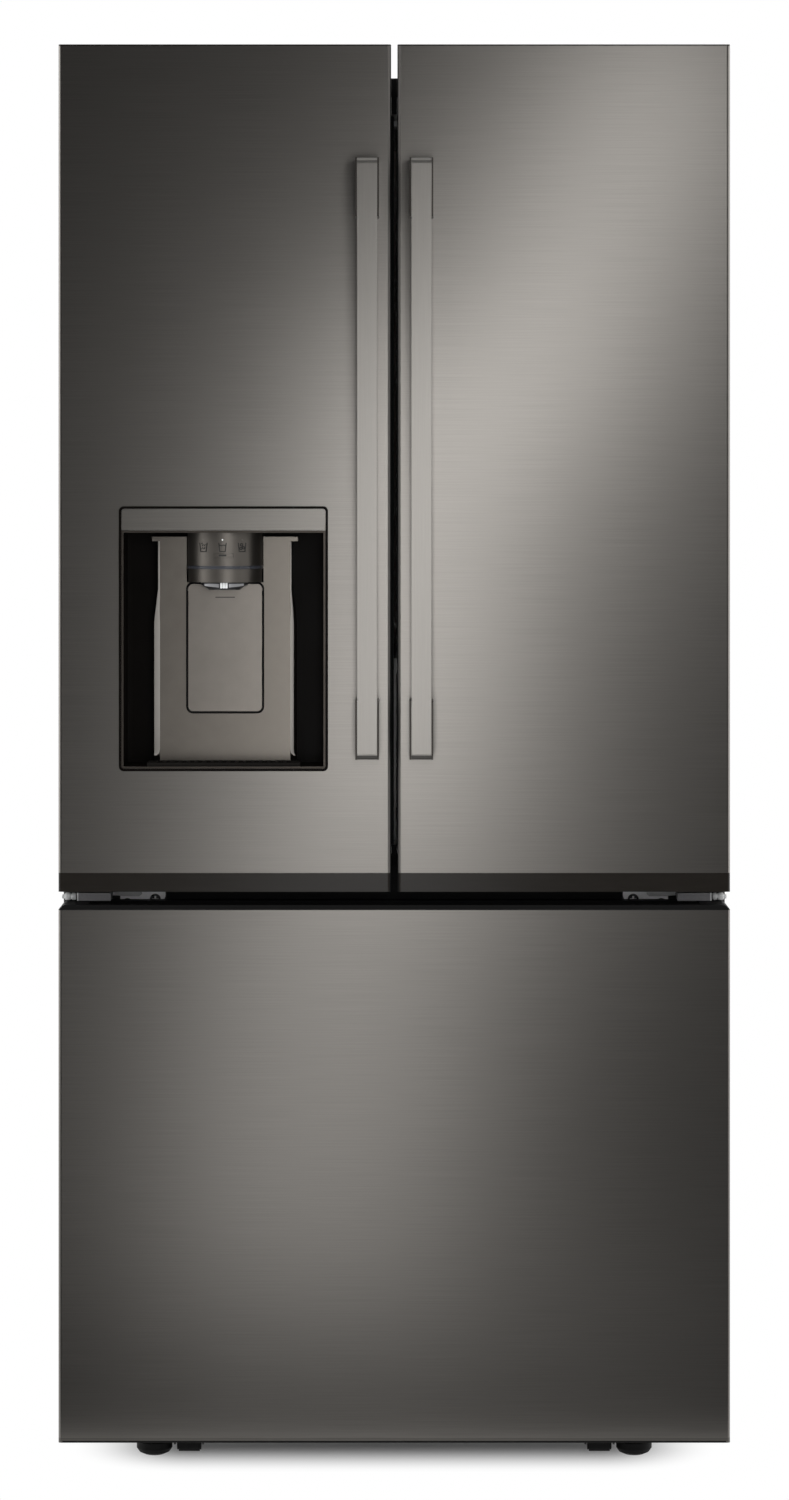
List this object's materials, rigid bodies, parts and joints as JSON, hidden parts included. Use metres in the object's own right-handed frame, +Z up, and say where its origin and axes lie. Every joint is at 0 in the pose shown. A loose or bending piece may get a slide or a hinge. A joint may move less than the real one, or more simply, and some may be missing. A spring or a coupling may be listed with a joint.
{
  "type": "french door refrigerator",
  "caption": "Free-standing refrigerator with swinging upper doors, an ice and water dispenser, and a pull-out freezer drawer below.",
  "frame": {"origin": "on the floor, in the middle of the whole width and depth", "axes": "+Z up, the doors face -Y, +X is to the right of someone who faces the doors"},
  "size_m": [0.832, 0.879, 1.77],
  "materials": {
    "case_shell": "satin",
    "rear_panels": "matte",
    "base_frame": "satin",
    "insulation": "matte",
    "fresh_liner": "gloss",
    "freezer_liner": "gloss",
    "centre_beam": "satin",
    "glass_shelves": "gloss",
    "shelf_frames": "satin",
    "shelf_ladders": "satin",
    "crisper_cover": "satin",
    "evaporator": "satin",
    "evaporator_cover": "satin",
    "evaporator_fan": "matte",
    "compressor": "satin",
    "condenser": "satin",
    "condenser_fan": "matte",
    "drain_pan": "matte",
    "hinge_brackets": "satin",
    "hinge_covers": "satin",
    "hinge_screws": "satin",
    "outer_rails": "satin",
    "middle_rails": "satin",
    "inner_rails": "satin",
    "cord_gland": "matte",
    "ice_room": "satin",
    "ice_bucket": "gloss",
    "ice_auger": "satin",
    "left_door_skin": "satin",
    "left_door_liner": "gloss",
    "left_door_caps": "gloss",
    "left_gasket": "matte",
    "left_handle": "satin",
    "left_bins": "gloss",
    "dispenser_bezel": "satin",
    "dispenser_header": "satin",
    "dispenser_housing": "gloss",
    "nozzle_housing": "gloss",
    "drip_tray": "satin",
    "paddle": "gloss",
    "selector_button": "gloss",
    "mullion": "matte",
    "right_door_skin": "satin",
    "right_door_liner": "gloss",
    "right_door_caps": "gloss",
    "right_gasket": "matte",
    "right_handle": "satin",
    "right_bins": "gloss",
    "drawer_skin": "satin",
    "drawer_liner": "gloss",
    "drawer_caps": "gloss",
    "drawer_gasket": "matte",
    "drawer_basket": "satin",
    "freezer_tray": "satin",
    "left_crisper": "gloss",
    "right_crisper": "gloss",
    "left_foot": "matte",
    "right_foot": "matte",
    "front_rollers": "matte",
    "rear_rollers": "matte"
  },
  "bodies": {
    "cabinet": {"case_shell": "case_shell", "rear_panels": "rear_panels", "base_frame": "base_frame", "insulation": "insulation", "fresh_liner": "fresh_liner", "freezer_liner": "freezer_liner", "centre_beam": "centre_beam", "glass_shelves": "glass_shelves", "shelf_frames": "shelf_frames", "shelf_ladders": "shelf_ladders", "crisper_cover": "crisper_cover", "evaporator": "evaporator", "evaporator_cover": "evaporator_cover", "compressor": "compressor", "condenser": "condenser", "drain_pan": "drain_pan", "hinge_brackets": "hinge_brackets", "hinge_covers": "hinge_covers", "hinge_screws": "hinge_screws", "outer_rails": "outer_rails", "cord_gland": "cord_gland", "ice_room": "ice_room", "ice_bucket": "ice_bucket"},
    "left_door": {"left_door_skin": "left_door_skin", "left_door_liner": "left_door_liner", "left_door_caps": "left_door_caps", "left_gasket": "left_gasket", "left_handle": "left_handle", "left_bins": "left_bins", "dispenser_bezel": "dispenser_bezel", "dispenser_header": "dispenser_header", "dispenser_housing": "dispenser_housing", "nozzle_housing": "nozzle_housing", "drip_tray": "drip_tray"},
    "right_door": {"right_door_skin": "right_door_skin", "right_door_liner": "right_door_liner", "right_door_caps": "right_door_caps", "right_gasket": "right_gasket", "right_handle": "right_handle", "right_bins": "right_bins"},
    "freezer_drawer": {"drawer_skin": "drawer_skin", "drawer_liner": "drawer_liner", "drawer_caps": "drawer_caps", "drawer_gasket": "drawer_gasket", "drawer_basket": "drawer_basket", "inner_rails": "inner_rails"},
    "rail_middles": {"middle_rails": "middle_rails"},
    "freezer_tray": {"freezer_tray": "freezer_tray"},
    "mullion": {"mullion": "mullion"},
    "paddle": {"paddle": "paddle"},
    "selector_button": {"selector_button": "selector_button"},
    "left_crisper": {"left_crisper": "left_crisper"},
    "right_crisper": {"right_crisper": "right_crisper"},
    "ice_auger": {"ice_auger": "ice_auger"},
    "evaporator_fan": {"evaporator_fan": "evaporator_fan"},
    "condenser_fan": {"condenser_fan": "condenser_fan"},
    "left_foot": {"left_foot": "left_foot"},
    "right_foot": {"right_foot": "right_foot"},
    "front_rollers": {"front_rollers": "front_rollers"},
    "rear_rollers": {"rear_rollers": "rear_rollers"}
  },
  "joints": [
    {"name": "left_door_swing", "type": "hinge", "parent": "cabinet", "child": "left_door", "pos_m": [-0.4035, -0.3135, 1.2], "axis": [0, 0, -1], "range_deg": [0, 130]},
    {"name": "right_door_swing", "type": "hinge", "parent": "cabinet", "child": "right_door", "pos_m": [0.4035, -0.3135, 1.2], "axis": [0, 0, 1], "range_deg": [0, 130]},
    {"name": "mullion_fold", "type": "hinge", "parent": "left_door", "child": "mullion", "pos_m": [-0.044, -0.2775, 1.23], "axis": [0, 0, 1], "range_deg": [0, 90]},
    {"name": "drawer_slide", "type": "slide", "parent": "cabinet", "child": "freezer_drawer", "axis": [0, -1, 0], "range_m": [0, 0.4]},
    {"name": "rail_slide", "type": "slide", "parent": "cabinet", "child": "rail_middles", "axis": [0, -1, 0], "range_m": [0, 0.2]},
    {"name": "tray_slide", "type": "slide", "parent": "freezer_drawer", "child": "freezer_tray", "axis": [0, -1, 0], "range_m": [0, 0.12]},
    {"name": "left_crisper_slide", "type": "slide", "parent": "cabinet", "child": "left_crisper", "axis": [0, -1, 0], "range_m": [0, 0.25]},
    {"name": "right_crisper_slide", "type": "slide", "parent": "cabinet", "child": "right_crisper", "axis": [0, -1, 0], "range_m": [0, 0.25]},
    {"name": "paddle_press", "type": "hinge", "parent": "left_door", "child": "paddle", "pos_m": [-0.2115, -0.3195, 1.0943], "axis": [1, 0, 0], "range_deg": [0, 7], "stiffness_Nm_per_rad": 0.8, "springref_deg": -5.73},
    {"name": "button_press", "type": "slide", "parent": "left_door", "child": "selector_button", "axis": [0, 1, 0], "range_m": [0, 0.0015], "stiffness_N_per_m": 400, "springref_m": -0.001},
    {"name": "auger_spin", "type": "hinge", "parent": "cabinet", "child": "ice_auger", "pos_m": [-0.2628, 0.0944, 1.5258], "axis": [0, 1, 0], "continuous": true},
    {"name": "evaporator_fan_spin", "type": "hinge", "parent": "cabinet", "child": "evaporator_fan", "pos_m": [0, 0.2665, 0.57], "axis": [0, 1, 0], "continuous": true},
    {"name": "condenser_fan_spin", "type": "hinge", "parent": "cabinet", "child": "condenser_fan", "pos_m": [0.041, 0.322, 0.1475], "axis": [1, 0, 0], "continuous": true},
    {"name": "left_foot_screw", "type": "slide", "parent": "cabinet", "child": "left_foot", "axis": [0, 0, 1], "range_m": [-0.01, 0.018]},
    {"name": "right_foot_screw", "type": "slide", "parent": "cabinet", "child": "right_foot", "axis": [0, 0, 1], "range_m": [-0.01, 0.018]},
    {"name": "front_rollers_spin", "type": "hinge", "parent": "cabinet", "child": "front_rollers", "pos_m": [0, -0.2615, 0.022], "axis": [1, 0, 0], "continuous": true},
    {"name": "rear_rollers_spin", "type": "hinge", "parent": "cabinet", "child": "rear_rollers", "pos_m": [0, 0.3695, 0.019], "axis": [1, 0, 0], "continuous": true}
  ],
  "couplings": [
    {"joint": "mullion_fold", "follows": "left_door_swing", "ratio": 0.6923},
    {"joint": "rail_slide", "follows": "drawer_slide", "ratio": 0.5},
    {"joint": "left_crisper_slide", "follows": "left_door_swing", "m_per_rad": 0.11},
    {"joint": "right_crisper_slide", "follows": "right_door_swing", "m_per_rad": 0.11}
  ]
}
